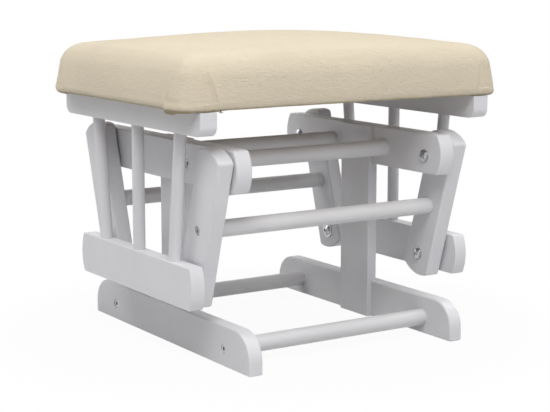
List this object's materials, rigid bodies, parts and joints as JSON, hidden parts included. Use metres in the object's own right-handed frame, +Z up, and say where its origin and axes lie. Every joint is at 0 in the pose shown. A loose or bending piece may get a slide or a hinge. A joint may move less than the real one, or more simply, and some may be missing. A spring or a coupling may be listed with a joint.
{
  "type": "glider ottoman",
  "caption": "Padded foot stool whose spindled seat frame glides fore and aft on four wooden swing links hung from a fixed base.",
  "frame": {"origin": "on the floor, midway between the two sides and the two ends", "axes": "+X across the stool to its right side, +Y along the glide towards the rear, +Z up"},
  "size_m": [0.4872, 0.418, 0.4073],
  "materials": {
    "painted_wood": "satin white paint on hardwood",
    "cushion_fabric": "cream short-nap upholstery fabric",
    "foam": "open-cell seat foam",
    "plywood": "bare plywood",
    "steel": "bright zinc plated",
    "nylon": "natural nylon",
    "brass": "machined brass"
  },
  "bodies": {
    "base": {"left_base_rail": "painted_wood", "right_base_rail": "painted_wood", "left_upright": "painted_wood", "right_upright": "painted_wood", "left_hanger_arm": "painted_wood", "right_hanger_arm": "painted_wood", "front_base_dowel": "painted_wood", "rear_base_dowel": "painted_wood", "front_stretcher": "painted_wood", "rear_stretcher": "painted_wood", "base_dowel_screws": "steel", "stretcher_screws": "steel", "hanger_bushings": "nylon"},
    "front_swing": {"front_left_link": "painted_wood", "front_right_link": "painted_wood", "front_link_dowel": "painted_wood", "front_link_screws": "steel", "front_hanger_bolts": "steel", "front_hanger_washers": "steel", "front_hanger_spacers": "nylon", "front_link_inserts": "brass", "front_seat_bushings": "nylon"},
    "rear_swing": {"rear_left_link": "painted_wood", "rear_right_link": "painted_wood", "rear_link_dowel": "painted_wood", "rear_link_screws": "steel", "rear_hanger_bolts": "steel", "rear_hanger_washers": "steel", "rear_hanger_spacers": "nylon", "rear_link_inserts": "brass", "rear_seat_bushings": "nylon"},
    "seat": {"left_lower_rail": "painted_wood", "right_lower_rail": "painted_wood", "left_top_rail": "painted_wood", "right_top_rail": "painted_wood", "left_front_spindle": "painted_wood", "left_middle_spindle": "painted_wood", "left_rear_spindle": "painted_wood", "right_front_spindle": "painted_wood", "right_middle_spindle": "painted_wood", "right_rear_spindle": "painted_wood", "seat_bolts": "steel", "seat_washers": "steel", "seat_spacers": "nylon", "seat_rail_inserts": "brass", "seat_board": "plywood", "seat_board_screws": "steel", "seat_foam": "foam", "cushion_cover": "cushion_fabric"}
  },
  "joints": [
    {"name": "front_link_swing", "type": "hinge", "parent": "base", "child": "front_swing", "pos_m": [0, -0.1505, 0.2435], "axis": [1, 0, 0], "range_deg": [-14, 14]},
    {"name": "seat_tilt", "type": "hinge", "parent": "front_swing", "child": "seat", "pos_m": [0, -0.1085, 0.1015], "axis": [1, 0, 0], "range_deg": [-19.4, 19.4]},
    {"name": "rear_link_swing", "type": "hinge", "parent": "base", "child": "rear_swing", "pos_m": [0, 0.1505, 0.2435], "axis": [1, 0, 0], "range_deg": [-14, 14]}
  ],
  "couplings": [
    {"joint": "seat_tilt", "follows": "front_link_swing", "ratio": -1.38},
    {"joint": "rear_link_swing", "follows": "front_link_swing", "ratio": 1}
  ]
}
